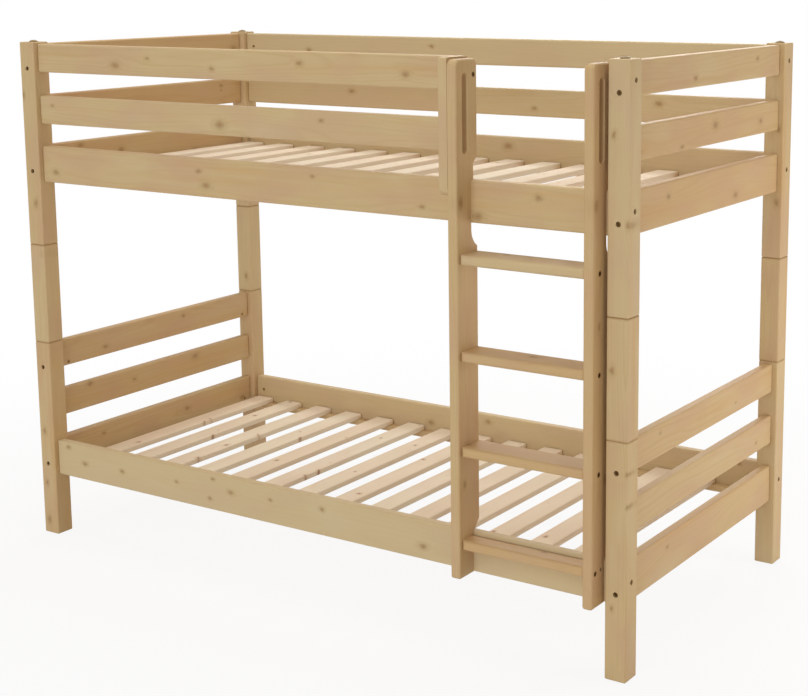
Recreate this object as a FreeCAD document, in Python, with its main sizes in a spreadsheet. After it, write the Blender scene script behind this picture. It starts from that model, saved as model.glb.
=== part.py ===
import FreeCAD, Part
import math
import os
import re
import Sketcher

# Bunk bed in solid pine, in millimetres. +Z is up, the ladder stands at the front (-Y), and the origin is on
# the floor, in the middle of the whole bed with its ladder. Rises are measured from a post's lower end.

SIZES = {
    "frame": {
        "bed_length": 2080, "bed_width": 1000,
        "post_side": 60, "long_post": 618, "short_post": 309,
        "post_edge_radius": 5, "post_end_chamfer": 2,
        "pin_diameter": 12, "pin_depth": 40,
        "cap_diameter": 26, "cap_height": 6, "cap_rim": 2, "cap_stem_length": 20,
    },
    "rails": {
        "rail_thickness": 27, "rail_inset": 16, "rail_edge_radius": 5,
        "side_rail_height": 110, "slim_rail_height": 85,
        "side_rail_rise": 194, "middle_rail_rise": 372, "top_rail_rise": 528,
    },
    "joints": {
        "side_bolt_lift": 62, "guard_bolt_lift": 40, "end_bolt_lift": 33, "end_top_bolt_lift": 11,
        "bolt_diameter": 6, "bolt_head_diameter": 12, "bolt_head_height": 5, "bolt_hole_diameter": 7,
        "socket_width": 6, "socket_depth": 3, "counterbore_diameter": 14, "counterbore_depth": 10,
        "nut_diameter": 10, "nut_length": 20, "nut_setback": 32, "nut_bore_diameter": 6.4,
        "bolt_overreach": 8, "nut_slot_width": 1.5, "nut_slot_depth": 2,
        "dowel_diameter": 10, "dowel_depth": 24, "peg_clearance": 0.2, "peg_end_gap": 1,
        "side_dowel_drop": 28, "guard_dowel_lift": 24, "end_dowel_lift": 48, "middle_dowel_spread": 20,
    },
    "sleeping surface": {
        "slat_seat_lift": 21, "slat_thickness": 17, "slat_width": 68, "slat_end_room": 5.2, "slat_count": 15,
        "slat_edge_radius": 3, "slat_end_gap": 4, "lower_slat_shift": 3, "upper_slat_shift": -4,
        "ledger_width": 28, "ledger_height": 18, "ledger_end_gap": 2, "ledger_edge_radius": 2,
        "ledger_screw_count": 5, "ledger_screw_margin": 90,
        "screw_diameter": 5, "screw_head_diameter": 9, "screw_head_height": 4, "screw_length": 42,
        "screw_hole_diameter": 5.4, "screw_recess_diameter": 10, "screw_recess_depth": 5,
    },
    "ladder": {
        "ladder_reach": 50, "ladder_gap": 10, "stringer_thickness": 27, "stringer_depth": 97,
        "stringer_foot_rise": 192, "stringer_top_drop": 5, "stringer_nose_radius": 18,
        "stringer_edge_radius": 6, "stringer_foot_radius": 8, "foot_ramp_height": 36,
        "scoop_radius": 50, "low_scoop_lead": 17, "high_scoop_lead": 11, "hook_depth": 10,
        "grip_width": 27, "grip_depth": 7, "grip_length": 206, "grip_setback": 41, "grip_top_drop": 33,
        "rung_count": 4, "rung_pitch": 250, "first_rung_rise": 283, "rung_length": 361, "rung_thickness": 27,
        "rung_depth": 88, "rung_setback": 10, "rung_edge_radius": 9, "rung_rail_gap": 2,
        "rung_bolt_inset": 25, "low_rung_bolt_inset": 10, "rung_dowel_inset": 62, "low_rung_dowel_inset": 25,
        "rung_dowel_diameter": 8, "rung_dowel_depth": 24, "rung_dowel_seat": 12,
        "foot_bolt_lift": 91.5, "foot_nut_inset": 17, "stringer_recess_depth": 5,
        "insert_length": 15, "spacer_diameter": 20,
    },
    "guard rail strut": {
        "strut_thickness": 27, "strut_tail_drop": 36, "strut_tail_radius": 20, "strut_nose_radius": 7,
        "strut_edge_radius": 3, "strut_joint_radius": 2, "strut_screw_margin": 9,
    },
    "drawing": {"overrun": 1, "closeness": 0.01},
}

# Lifts are measured from the lower edge of the rail that the bolt or seat belongs to.
# Places worked out from the sizes. Across is X, along the bed. Deep is Y, measured from the bed's middle line.
PLACES = {
    "upper_bed": "long_post + short_post",
    "post_across": "(bed_length - post_side) / 2",
    "post_deep": "(bed_width - post_side) / 2",
    "inner_across": "bed_length / 2 - post_side",
    "inner_deep": "bed_width / 2 - post_side",
    "rail_deep": "bed_width / 2 - rail_inset - rail_thickness / 2",
    "rail_across": "bed_length / 2 - rail_inset - rail_thickness / 2",
    "rail_face_deep": "bed_width / 2 - rail_inset",
    "rail_back_deep": "bed_width / 2 - rail_inset - rail_thickness",
    "rail_off_middle": "post_side / 2 - rail_inset - rail_thickness / 2",
    "side_bolt_rise": "side_rail_rise + side_bolt_lift",
    "guard_bolt_rise": "top_rail_rise + guard_bolt_lift",
    "end_bolt_rise": "side_rail_rise + end_bolt_lift",
    "end_top_bolt_rise": "top_rail_rise + end_top_bolt_lift",
    "foot_bolt_rise": "side_rail_rise + foot_bolt_lift",
    "slat_seat_rise": "side_rail_rise + slat_seat_lift",
    "slat_pitch": "(2 * inner_across - slat_width - 2 * slat_end_room) / (slat_count - 1)",
    "peg_hole": "dowel_diameter + 2 * peg_clearance",
    "nut_hole": "nut_diameter + 2 * peg_clearance",
    "pin_hole": "pin_diameter + 2 * peg_clearance",
    "rung_peg_hole": "rung_dowel_diameter + 2 * peg_clearance",
    "ladder_shift": "ladder_reach / 2",
    "ladder_front": "bed_width / 2 + ladder_reach",
    "right_stringer": "inner_across - ladder_gap - stringer_thickness",
    "left_stringer": "right_stringer - rung_length - stringer_thickness",
    "strut_left": "left_stringer - strut_thickness",
    "notch_depth": "ladder_front - rail_face_deep",
    "guard_top": "upper_bed + top_rail_rise + slim_rail_height",
    "side_rail_top": "side_rail_rise + side_rail_height",
    "stringer_top": "guard_top - stringer_top_drop - stringer_foot_rise",
    "notch_low": "upper_bed + side_rail_rise - stringer_foot_rise",
    "notch_high": "notch_low + side_rail_height",
    "scoop_run": "sqrt(2 * scoop_radius * (stringer_depth - notch_depth) - (stringer_depth - notch_depth)^2)",
    "foot_top": "side_rail_top - stringer_foot_rise",
    "guard_bolt_inset": "ladder_front - rail_deep",
    "low_rung_depth": "notch_depth - rung_setback - rung_rail_gap",
    "ladder_middle": "(left_stringer + stringer_thickness + right_stringer) / 2",
    "hook_height": "high_scoop_lead + sqrt(2 * scoop_radius * hook_depth - hook_depth^2)",
    "grip_top": "stringer_top - grip_top_drop",
    "grip_radius": "((grip_width / 2)^2 + grip_depth^2) / (2 * grip_depth)",
    "strut_foot": "upper_bed + side_rail_top - strut_tail_drop",
    "strut_height": "guard_top - strut_foot",
    "strut_depth": "ladder_front - rail_back_deep",
    "ledger_length": "2 * (inner_across - ledger_end_gap)",
    "ledger_deep": "rail_back_deep - ledger_width / 2",
    "ledger_rise": "slat_seat_rise - ledger_height",
    "slat_length": "2 * (rail_back_deep - slat_end_gap)",
    "ledger_screw_bite": "screw_length + screw_recess_depth - ledger_width",
    "rail_screw_bite": "screw_length + screw_recess_depth - rail_thickness",
    "guard_screw_bite": "screw_length + screw_recess_depth - strut_thickness",
    "cap_dome_radius": "((cap_diameter / 2)^2 + (cap_height - cap_rim)^2) / (2 * (cap_height - cap_rim))",
}

doc = FreeCAD.newDocument("BunkBed")
sheet = doc.addObject("Spreadsheet::Sheet", "Sizes")
row = 0
for group, sizes in SIZES.items():
    row += 1
    sheet.set("A%d" % row, group)
    for name, size in sizes.items():
        row += 1
        sheet.set("A%d" % row, name)
        sheet.set("B%d" % row, str(size))
        sheet.setAlias("B%d" % row, name)
doc.recompute()
ALIASES = {name for sizes in SIZES.values() for name in sizes}


def spell(formula):
    # Writes a formula out in the sheet's own cells
    def cell(word):
        name = word.group()
        if name in PLACES:
            return "(" + spell(PLACES[name]) + ")"
        return "Sizes." + name if name in ALIASES else name
    return re.sub(r"[a-z][a-z_]*", cell, str(formula))


def value(formula):
    return float(sheet.evalExpression(spell(formula)))


def bind(thing, **formulas):
    for name, formula in formulas.items():
        thing.setExpression(name.replace("__", "."), spell(formula))
    return thing


# Directions
X, Y, Z = FreeCAD.Vector(1, 0, 0), FreeCAD.Vector(0, 1, 0), FreeCAD.Vector(0, 0, 1)
ALONG = {"x": FreeCAD.Rotation(Z, X), "y": FreeCAD.Rotation(Z, Y), "z": FreeCAD.Rotation()}


def turned(along, across):
    # The turn that lays a piece's own Z along one direction and its own X along another
    return FreeCAD.Rotation(across, along.cross(across), along, "ZXY")


def place(thing, across, deep, rise, turn=FreeCAD.Rotation()):
    # Places are given from the bed's middle line, and the bed stands back by half the ladder's reach
    thing.Placement = FreeCAD.Placement(FreeCAD.Vector(), turn)
    return bind(thing, Placement__Base__x=across, Placement__Base__y=deep + " + ladder_shift",
                Placement__Base__z=rise)


nodes = []


def body(name, is_node=True):
    piece = doc.addObject("PartDesign::Body", name)
    piece.Label = name
    if is_node:
        nodes.append(piece)
    return piece


def edges_where(shape, test):
    return ["Edge%d" % (i + 1) for i, edge in enumerate(shape.Edges) if test(edge)]


def runs_along(edge, direction):
    return edge.Curve.TypeId == "Part::GeomLine" and abs(edge.Curve.Direction.dot(direction)) > 0.9


def soften(piece, test, radius):
    # Rounds every edge of the piece that passes the test
    doc.recompute()
    base = piece.Tip
    rounding = piece.newObject("PartDesign::Fillet", "Rounding")
    rounding.Base = (base, edges_where(base.Shape, test))
    return bind(rounding, Radius=radius)


def block(piece, length, width, height, corner):
    solid = piece.newObject("PartDesign::AdditiveBox", "Blank")
    bind(solid, Length=length, Width=width, Height=height)
    at = {"Placement.Base." + axis: formula for axis, formula in zip("xyz", corner)}
    for name, formula in at.items():
        solid.setExpression(name, spell(formula))
    return solid


def bore(piece, axis, start, depth, diameter):
    # A round hole that runs from its start in the direction of the axis
    hole = piece.newObject("PartDesign::SubtractiveCylinder", "Bore")
    hole.Refine = False
    hole.Placement = FreeCAD.Placement(FreeCAD.Vector(), ALONG[axis])
    bind(hole, Radius="(%s) / 2" % diameter, Height=depth)
    for name, formula in zip("xyz", start):
        hole.setExpression("Placement.Base." + name, spell(formula))
    return hole


def outline(sketch, corners):
    # A closed outline through corners given as (across, up). A corner may add the radius of the arc that
    # arrives there, and which way that arc turns: 1 to the left, -1 to the right.
    spots = [FreeCAD.Vector(value(corner[0]), value(corner[1]), 0) for corner in corners]
    ends = []
    for i, corner in enumerate(corners):
        start, stop = spots[i - 1], spots[i]
        if len(corner) == 2:
            ends.append((sketch.addGeometry(Part.LineSegment(start, stop)), 1, 2))
            continue
        radius, left = value(corner[2]), corner[3]
        chord = stop - start
        reach = math.sqrt(max(radius ** 2 - (chord.Length / 2) ** 2, 0))
        centre = (start + stop) / 2 + FreeCAD.Vector(-chord.y, chord.x, 0).normalize() * reach * left
        angles = [math.atan2(spot.y - centre.y, spot.x - centre.x) for spot in (start, stop)][::left]
        if angles[1] < angles[0]:
            angles[1] += 2 * math.pi
        arc = sketch.addGeometry(Part.ArcOfCircle(Part.Circle(centre, Z, radius), *angles))
        ends.append((arc, 1, 2) if left > 0 else (arc, 2, 1))
        dimension(sketch, ("Radius", arc, radius), corner[2])
    for i, (line, first, last) in enumerate(ends):
        following, begins = ends[(i + 1) % len(ends)][:2]
        sketch.addConstraint(Sketcher.Constraint("Coincident", line, last, following, begins))
        dimension(sketch, ("DistanceX", -1, 1, line, last, spots[i].x), corners[i][0])
        dimension(sketch, ("DistanceY", -1, 1, line, last, spots[i].y), corners[i][1])


def dimension(sketch, constraint, formula):
    number = sketch.addConstraint(Sketcher.Constraint(*constraint))
    sketch.setExpression("Constraints[%d]" % number, spell(formula))


def sketch_on(piece, plane, corners):
    sketch = piece.newObject("Sketcher::SketchObject", "Outline")
    support = [feature for feature in piece.Origin.OriginFeatures if feature.Role == plane][0]
    sketch.AttachmentSupport = [(support, "")]
    sketch.MapMode = "FlatFace"
    doc.recompute()
    outline(sketch, corners)
    doc.recompute()
    return sketch


# Posts

SIDES = {"front": -1, "back": 1}
ENDS = {"left": -1, "right": 1}


def post(name, end, side, foot, height):
    piece = body(name)
    block(piece, "post_side", "post_side", height, ("-post_side / 2", "-post_side / 2", "0"))
    soften(piece, lambda edge: runs_along(edge, Z), "post_edge_radius")
    doc.recompute()
    tip = piece.Tip
    bevel = piece.newObject("PartDesign::Chamfer", "EndBevel")
    flat = [i for i, face in enumerate(tip.Shape.Faces) if abs(face.normalAt(0, 0).z) > 0.9]
    bevel.Base = (tip, ["Face%d" % (i + 1) for i in flat])
    bind(bevel, Size="post_end_chamfer")
    bore(piece, "z", ("0", "0", "-overrun"), "pin_depth + peg_end_gap + overrun", "pin_hole")
    bore(piece, "z", ("0", "0", "%s - pin_depth - peg_end_gap" % height), "pin_depth + peg_end_gap + overrun",
         "pin_hole")
    return place(piece, "%d * post_across" % end, "%d * post_deep" % side, foot)


def drill_post(piece, end, side, side_bolts, end_bolts, side_pegs, end_pegs):
    # Bolts go right through, with counterbores for their heads on the outer face. Pegs enter from inside.
    line = {"x": "%d * rail_off_middle" % side, "y": "%d * rail_off_middle" % end}
    outward = {"x": end, "y": side}

    def spot(axis, start, rise):
        return (start, line["x"], rise) if axis == "x" else (line["y"], start, rise)

    for axis, rises in (("x", side_bolts), ("y", end_bolts)):
        for rise in rises:
            bore(piece, axis, spot(axis, "-post_side / 2 - overrun", rise), "post_side + 2 * overrun",
                 "bolt_hole_diameter")
            edge = "post_side / 2 - counterbore_depth" if outward[axis] > 0 else "-post_side / 2 - overrun"
            bore(piece, axis, spot(axis, edge, rise), "counterbore_depth + overrun", "counterbore_diameter")
    for axis, rises in (("x", side_pegs), ("y", end_pegs)):
        for rise in rises:
            edge = "-post_side / 2 - overrun" if outward[axis] > 0 else "post_side / 2 - dowel_depth"
            bore(piece, axis, spot(axis, edge, rise), "dowel_depth + overrun", "peg_hole")


SIDE_PEG = "side_bolt_rise - side_dowel_drop"
MIDDLE_PEGS = ["middle_rail_rise + slim_rail_height / 2 %s middle_dowel_spread" % sign for sign in "-+"]
GUARD_PEGS = MIDDLE_PEGS + ["guard_bolt_rise + guard_dowel_lift"]
END_PEGS = ["end_bolt_rise + end_dowel_lift", "end_top_bolt_rise + end_dowel_lift"] + MIDDLE_PEGS
END_BOLTS = ["end_bolt_rise", "end_top_bolt_rise"]
HAS_GUARD = {("left", "front"), ("left", "back"), ("right", "back")}

for end_name, end in ENDS.items():
    for side_name, side in SIDES.items():
        corner = "%s_%s" % (side_name, end_name)
        lower = post("lower_post_" + corner, end, side, "0", "long_post")
        drill_post(lower, end, side, ["side_bolt_rise"], END_BOLTS, [SIDE_PEG], END_PEGS)
        post("middle_post_" + corner, end, side, "long_post", "short_post")
        upper = post("upper_post_" + corner, end, side, "upper_bed", "long_post")
        side_pegs = [SIDE_PEG] + (GUARD_PEGS if (end_name, side_name) in HAS_GUARD else [])
        drill_post(upper, end, side, ["side_bolt_rise", "guard_bolt_rise"], END_BOLTS, side_pegs, END_PEGS)


# Rails

def rail(name, length, height, bolt=None, pegs=(), peg_ends=(-1, 1)):
    # A rail lies along its own X, centred, with its inner face at +Y. Rises here are from its lower edge.
    piece = body(name)
    block(piece, length, "rail_thickness", height, ("-(%s) / 2" % length, "-rail_thickness / 2", "0"))
    soften(piece, lambda edge: True, "rail_edge_radius")
    for end in (-1, 1):
        tip = "%d * (%s) / 2" % (end, length)
        if bolt:
            bolt_depth = "nut_setback + bolt_overreach + peg_end_gap"
            start = tip + (" - (%s)" % bolt_depth if end > 0 else " - overrun")
            bore(piece, "x", (start, "0", bolt), bolt_depth + " + overrun", "bolt_hole_diameter")
            nut = "%s - %d * nut_setback" % (tip, end)
            bore(piece, "y", (nut, "-nut_length / 2 - peg_end_gap", bolt), "rail_thickness", "nut_hole")
        if end in peg_ends:
            for rise in pegs:
                start = tip + (" - dowel_depth" if end > 0 else " - overrun")
                bore(piece, "x", (start, "0", rise), "dowel_depth + overrun", "peg_hole")
    return piece


BEDS = {"lower": "0", "upper": "upper_bed"}
QUARTER = 90
RAIL_TURNS = {"front": 0, "right": QUARTER, "back": 2 * QUARTER, "left": 3 * QUARTER}


def lay(piece, where, rise, across="0"):
    # Lays a rail along the front, back, left or right of the bed, with its inner face inwards
    turn = FreeCAD.Rotation(Z, RAIL_TURNS[where])
    if where in SIDES:
        return place(piece, across, "%d * rail_deep" % SIDES[where], rise, turn)
    return place(piece, "%d * rail_across" % ENDS[where], "0", rise, turn)


SIDE_LENGTH, END_LENGTH = "2 * inner_across", "2 * inner_deep"
FRONT_GUARD_LENGTH = "strut_left + inner_across"
FRONT_GUARD_MIDDLE = "(strut_left - inner_across) / 2"
MIDDLE_RAIL_PEGS = ["slim_rail_height / 2 %s middle_dowel_spread" % sign for sign in "-+"]
GUARD_BOLT = "guard_bolt_rise - top_rail_rise"

for bed, foot in BEDS.items():
    for side_name in SIDES:
        piece = rail("%s_side_rail_%s" % (bed, side_name), SIDE_LENGTH, "side_rail_height",
                     "side_bolt_rise - side_rail_rise", [SIDE_PEG + " - side_rail_rise"])
        lay(piece, side_name, foot + " + side_rail_rise")
    for end_name in ENDS:
        name = "%s_%s_end_rail_" % (bed, end_name)
        bottom = rail(name + "bottom", END_LENGTH, "side_rail_height", "end_bolt_rise - side_rail_rise",
                      ["end_bolt_rise + end_dowel_lift - side_rail_rise"])
        lay(bottom, end_name, foot + " + side_rail_rise")
        middle = rail(name + "middle", END_LENGTH, "slim_rail_height", None, MIDDLE_RAIL_PEGS)
        lay(middle, end_name, foot + " + middle_rail_rise")
        top = rail(name + "top", END_LENGTH, "slim_rail_height", "end_top_bolt_rise - top_rail_rise",
                   ["end_top_bolt_rise + end_dowel_lift - top_rail_rise"])
        lay(top, end_name, foot + " + top_rail_rise")

GUARD_RISES = {"middle": "upper_bed + middle_rail_rise", "top": "upper_bed + top_rail_rise"}
GUARD_JOINTS = {"middle": (None, MIDDLE_RAIL_PEGS), "top": (GUARD_BOLT, [GUARD_BOLT + " + guard_dowel_lift"])}
for level, rise in GUARD_RISES.items():
    back = rail("guard_rail_back_" + level, SIDE_LENGTH, "slim_rail_height", *GUARD_JOINTS[level])
    lay(back, "back", rise)
    front = rail("guard_rail_front_" + level, FRONT_GUARD_LENGTH, "slim_rail_height", *GUARD_JOINTS[level], (-1,))
    lay(front, "front", rise, FRONT_GUARD_MIDDLE)
for rise in MIDDLE_RAIL_PEGS:
    start = "(%s) / 2 - guard_screw_bite - peg_end_gap" % FRONT_GUARD_LENGTH
    bore(doc.getObject("guard_rail_front_middle"), "x", (start, "0", rise),
         "guard_screw_bite + peg_end_gap + overrun", "screw_hole_diameter")


# Sleeping surfaces: ledgers screwed inside the side rails carry loose slats

def screw_place(number):
    return "(%d / (ledger_screw_count - 1) - 1 / 2) * (ledger_length - 2 * ledger_screw_margin)" % number


slat = body("slat", False)
block(slat, "slat_width", "slat_length", "slat_thickness", ("-slat_width / 2", "-slat_length / 2", "0"))
soften(slat, lambda edge: runs_along(edge, Y), "slat_edge_radius")

screw_numbers = range(int(value("ledger_screw_count")))
slat_numbers = range(int(value("slat_count")))

for bed, foot in BEDS.items():
    for side_name, side in SIDES.items():
        ledger = body("%s_slat_ledger_%s" % (bed, side_name))
        block(ledger, "ledger_length", "ledger_width", "ledger_height",
              ("-ledger_length / 2", "-ledger_width / 2", "0"))
        soften(ledger, lambda edge: runs_along(edge, X), "ledger_edge_radius")
        host = doc.getObject("%s_side_rail_%s" % (bed, side_name))
        for number in screw_numbers:
            across = screw_place(number)
            bore(ledger, "y", (across, "-ledger_width / 2 - overrun", "ledger_height / 2"),
                 "ledger_width + 2 * overrun", "screw_hole_diameter")
            bore(ledger, "y", (across, "ledger_width / 2 - screw_recess_depth", "ledger_height / 2"),
                 "screw_recess_depth + overrun", "screw_recess_diameter")
            bore(host, "y", (across, "rail_thickness / 2 - ledger_screw_bite - peg_end_gap",
                             "ledger_rise + ledger_height / 2 - side_rail_rise"),
                 "ledger_screw_bite + peg_end_gap + overrun", "screw_hole_diameter")
        place(ledger, "0", "%d * ledger_deep" % side, foot + " + ledger_rise",
              FreeCAD.Rotation(Z, RAIL_TURNS[side_name]))


# Ladder and strut. Their own X runs from the left face, Y from the front edge and Z from the lower end.

def grip(piece, face):
    # A round-bottomed groove for the hand, with ball ends, in the left (0) or right (1) face
    across = "grip_depth - grip_radius" if face == 0 else "stringer_thickness - grip_depth + grip_radius"
    low, high = "grip_top - grip_length + grip_width / 2", "grip_top - grip_width / 2"
    bore(piece, "z", (across, "grip_setback", low), "grip_length - grip_width", "2 * grip_radius")
    for rise in (low, high):
        ball = piece.newObject("PartDesign::SubtractiveSphere", "GripEnd")
        ball.Refine = False
        bind(ball, Radius="grip_radius", Placement__Base__x=across, Placement__Base__y="grip_setback",
             Placement__Base__z=rise)


def on_side(edge, face, thickness):
    # The edges of a board's left (0) or right (1) side face
    limit = value("closeness")
    return edge.BoundBox.XLength < limit and abs(edge.BoundBox.XMin - face * value(thickness)) < limit


def outer_run(edge):
    # The edges that lie at a stringer's front or at its full depth. The rounding runs on round its corners.
    limit = value("closeness")
    return edge.BoundBox.YMin < limit or runs_along(edge, Z) and edge.BoundBox.YMin > value("stringer_depth") - limit


STRINGER = [
    ("notch_depth", "0"), ("notch_depth", "foot_top"), ("stringer_depth", "foot_top + foot_ramp_height"),
    ("stringer_depth", "notch_low - low_scoop_lead - scoop_run"),
    ("notch_depth", "notch_low - low_scoop_lead", "scoop_radius", -1), ("notch_depth", "notch_high"),
    ("notch_depth + hook_depth", "notch_high"), ("notch_depth + hook_depth", "notch_high + hook_height"),
    ("stringer_depth", "notch_high + high_scoop_lead + scoop_run", "scoop_radius", -1),
    ("stringer_depth", "stringer_top - stringer_nose_radius"),
    ("stringer_depth - stringer_nose_radius", "stringer_top", "stringer_nose_radius", 1),
    ("stringer_nose_radius", "stringer_top"),
    ("0", "stringer_top - stringer_nose_radius", "stringer_nose_radius", 1), ("0", "stringer_foot_radius"),
    ("stringer_foot_radius", "0", "stringer_foot_radius", 1),
]
RUNGS = range(int(value("rung_count")))


def rung_rise(number):
    return "first_rung_rise + %d * rung_pitch" % number


def rung_inset(number, kind):
    return "low_rung_%s_inset" % kind if number == 0 else "rung_%s_inset" % kind


for end_name, end in ENDS.items():
    stringer = body("ladder_stringer_" + end_name)
    pad = stringer.newObject("PartDesign::Pad", "Board")
    pad.Profile = sketch_on(stringer, "YZ_Plane", STRINGER)
    bind(pad, Length="stringer_thickness")
    doc.recompute()
    for face in (0, 1):
        radius = "strut_joint_radius" if (end, face) == (-1, 0) else "stringer_edge_radius"
        soften(stringer, lambda edge: on_side(edge, face, "stringer_thickness") and outer_run(edge), radius)
    for face in (0, 1):
        grip(stringer, face)
    inner = "stringer_thickness" if end < 0 else "0"
    for number in RUNGS:
        rise = rung_rise(number) + " - stringer_foot_rise"
        bolt_deep = "rung_setback + " + rung_inset(number, "bolt")
        peg_deep = "rung_setback + " + rung_inset(number, "dowel")
        bore(stringer, "x", ("-overrun", bolt_deep, rise), "stringer_thickness + 2 * overrun", "bolt_hole_diameter")
        recess = "-overrun" if end < 0 else "stringer_thickness - stringer_recess_depth"
        bore(stringer, "x", (recess, bolt_deep, rise), "stringer_recess_depth + overrun", "counterbore_diameter")
        seat = "stringer_thickness - rung_dowel_seat" if end < 0 else "-overrun"
        bore(stringer, "x", (seat, peg_deep, rise), "rung_dowel_seat + overrun", "rung_peg_hole")
    foot_rise = "foot_bolt_rise - stringer_foot_rise"
    bore(stringer, "x", ("(stringer_thickness - nut_length) / 2 - peg_end_gap", "notch_depth - foot_nut_inset",
                         foot_rise), "stringer_thickness", "nut_hole")
    foot_bolt_bite = "foot_nut_inset + bolt_overreach + peg_end_gap"
    bore(stringer, "y", ("stringer_thickness / 2", "notch_depth - (%s)" % foot_bolt_bite, foot_rise),
         foot_bolt_bite + " + overrun", "bolt_hole_diameter")
    bore(stringer, "y", ("stringer_thickness / 2", "notch_depth - rail_screw_bite - peg_end_gap",
                         "notch_low + side_rail_height / 2"), "rail_screw_bite + peg_end_gap + overrun",
         "screw_hole_diameter")
    guard_rise = "upper_bed + guard_bolt_rise - stringer_foot_rise"
    if end < 0:
        bore(stringer, "x", ("-overrun", "guard_bolt_inset", guard_rise), "stringer_thickness + 2 * overrun",
             "bolt_hole_diameter")
        bore(stringer, "x", ("stringer_thickness - stringer_recess_depth", "guard_bolt_inset", guard_rise),
             "stringer_recess_depth + overrun", "counterbore_diameter")
    else:
        bore(stringer, "x", ("stringer_thickness - insert_length - peg_end_gap", "guard_bolt_inset", guard_rise),
             "insert_length + peg_end_gap + overrun", "nut_hole")
    place(stringer, end_name + "_stringer", "-(ladder_front)", "stringer_foot_rise")

for number in RUNGS:
    rung = body("ladder_rung_%d" % (number + 1))
    depth = "low_rung_depth" if number == 0 else "rung_depth"
    block(rung, "rung_length", depth, "rung_thickness", ("-rung_length / 2", "0", "-rung_thickness / 2"))
    soften(rung, lambda edge: runs_along(edge, X) or runs_along(edge, Z) and edge.BoundBox.YMax < 1,
           "rung_edge_radius")
    for end in (-1, 1):
        tip = "%d * rung_length / 2" % end
        for kind, deep, hole in (("bolt", "nut_setback + bolt_overreach + peg_end_gap", "bolt_hole_diameter"),
                                 ("dowel", "rung_dowel_depth", "rung_peg_hole")):
            start = tip + (" - (%s)" % deep if end > 0 else " - overrun")
            bore(rung, "x", (start, rung_inset(number, kind), "0"), deep + " + overrun", hole)
        bore(rung, "z", ("%s - %d * nut_setback" % (tip, end), rung_inset(number, "bolt"),
                         "nut_length / 2 + peg_end_gap - rung_thickness"), "rung_thickness", "nut_hole")
    place(rung, "ladder_middle", "-(ladder_front - rung_setback)", rung_rise(number))

strut = body("guard_rail_strut")
pad = strut.newObject("PartDesign::Pad", "Board")
pad.Profile = sketch_on(strut, "YZ_Plane", [
    ("notch_depth", "0"), ("notch_depth", "strut_tail_drop"),
    ("strut_depth", "strut_tail_drop"), ("strut_depth", "strut_height"), ("strut_nose_radius", "strut_height"),
    ("0", "strut_height - strut_nose_radius", "strut_nose_radius", 1), ("0", "strut_tail_radius"),
    ("strut_tail_radius", "0", "strut_tail_radius", 1),
])
bind(pad, Length="strut_thickness")
soften(strut, lambda edge: on_side(edge, 0, "strut_thickness") and edge.BoundBox.YMin < value("closeness"),
       "strut_edge_radius")
guard_rise = "upper_bed + guard_bolt_rise - strut_foot"
bore(strut, "x", ("-overrun", "guard_bolt_inset", guard_rise), "strut_thickness + 2 * overrun", "bolt_hole_diameter")
for rise in MIDDLE_PEGS:
    spot = ("guard_bolt_inset", "upper_bed - strut_foot + " + rise)
    bore(strut, "x", ("-overrun",) + spot, "strut_thickness + 2 * overrun", "screw_hole_diameter")
    bore(strut, "x", ("strut_thickness - screw_recess_depth",) + spot, "screw_recess_depth + overrun",
         "screw_recess_diameter")
STRUT_SCREWS = ["strut_screw_margin", "strut_tail_drop - strut_screw_margin"]
for drop in STRUT_SCREWS:
    bore(strut, "y", ("strut_thickness / 2", "notch_depth - rail_screw_bite - peg_end_gap",
                      "strut_tail_drop - (%s)" % drop), "rail_screw_bite + peg_end_gap + overrun",
         "screw_hole_diameter")
place(strut, "strut_left", "-(ladder_front)", "strut_foot")


# The front side rails are drilled from inside for the ladder and the strut

STRINGER_MIDDLES = ["left_stringer + stringer_thickness / 2", "right_stringer + stringer_thickness / 2"]


def drill_rail_through(piece, across, rise, hole, recess, recess_depth):
    bore(piece, "y", (across, "-rail_thickness / 2 - overrun", rise), "rail_thickness + 2 * overrun", hole)
    bore(piece, "y", (across, "rail_thickness / 2 - " + recess_depth, rise), recess_depth + " + overrun", recess)


for across in STRINGER_MIDDLES:
    drill_rail_through(doc.getObject("lower_side_rail_front"), across, "foot_bolt_rise - side_rail_rise",
                       "bolt_hole_diameter", "counterbore_diameter", "counterbore_depth")
rail_screws = [(across, "side_rail_height / 2") for across in STRINGER_MIDDLES]
rail_screws += [("strut_left + strut_thickness / 2", "side_rail_height - (%s)" % drop) for drop in STRUT_SCREWS]
for across, rise in rail_screws:
    drill_rail_through(doc.getObject("upper_side_rail_front"), across, rise, "screw_hole_diameter",
                       "screw_recess_diameter", "screw_recess_depth")


# Fasteners. Each kind is drawn once: a bolt or screw seats at its own origin and points along its own Z.

def rod(piece, diameter, start, length):
    solid = piece.newObject("PartDesign::AdditiveCylinder", "Rod")
    return bind(solid, Radius="(%s) / 2" % diameter, Height=length, Placement__Base__z=start)


def bolt(name, length, diameter="bolt_diameter", head="bolt_head"):
    piece = body(name, False)
    rod(piece, diameter, "0", length)
    rod(piece, head + "_diameter", "-%s_height" % head, head + "_height")
    socket = piece.newObject("PartDesign::SubtractivePrism", "Socket")
    socket.Polygon = HEXAGON
    bind(socket, Circumradius="socket_width / sqrt(3)", Height="socket_depth + overrun",
         Placement__Base__z="-%s_height - overrun" % head)
    return piece


def peg(name, diameter, length):
    piece = body(name, False)
    rod(piece, diameter, "-(%s) / 2" % length, length)
    return piece


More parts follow.
